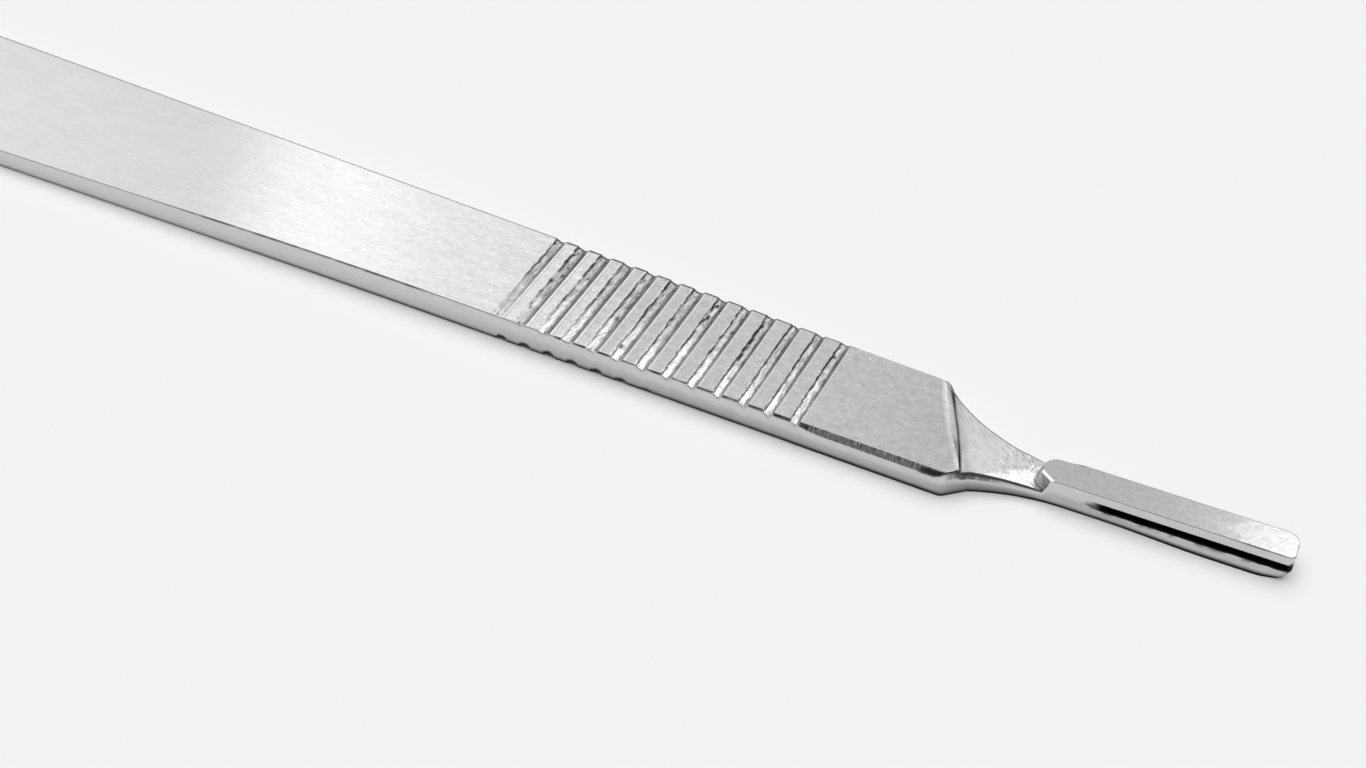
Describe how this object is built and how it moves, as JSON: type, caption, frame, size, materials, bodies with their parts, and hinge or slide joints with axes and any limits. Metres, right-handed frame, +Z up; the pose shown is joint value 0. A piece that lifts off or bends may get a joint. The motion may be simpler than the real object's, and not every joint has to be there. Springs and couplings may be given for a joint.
{
  "type": "scalpel handle",
  "caption": "Flat steel scalpel handle: tapered bar with ribbed grip on both faces, slanted shoulder, sloping neck, and a narrow nose with a slot along each side for a detachable blade",
  "frame": {"origin": "middle of the handle's underside, half way along its length, on the surface that it lies on", "axes": "+X towards the blade end, +Z up out of the face that shows the blade seat, +Y towards the side that the nose leans to"},
  "size_m": [0.125, 0.0132, 0.0021],
  "materials": {
    "brushed_steel": "lengthwise brushed, satin"
  },
  "bodies": {
    "root": {"scalpel_handle": "brushed_steel"}
  },
  "joints": []
}
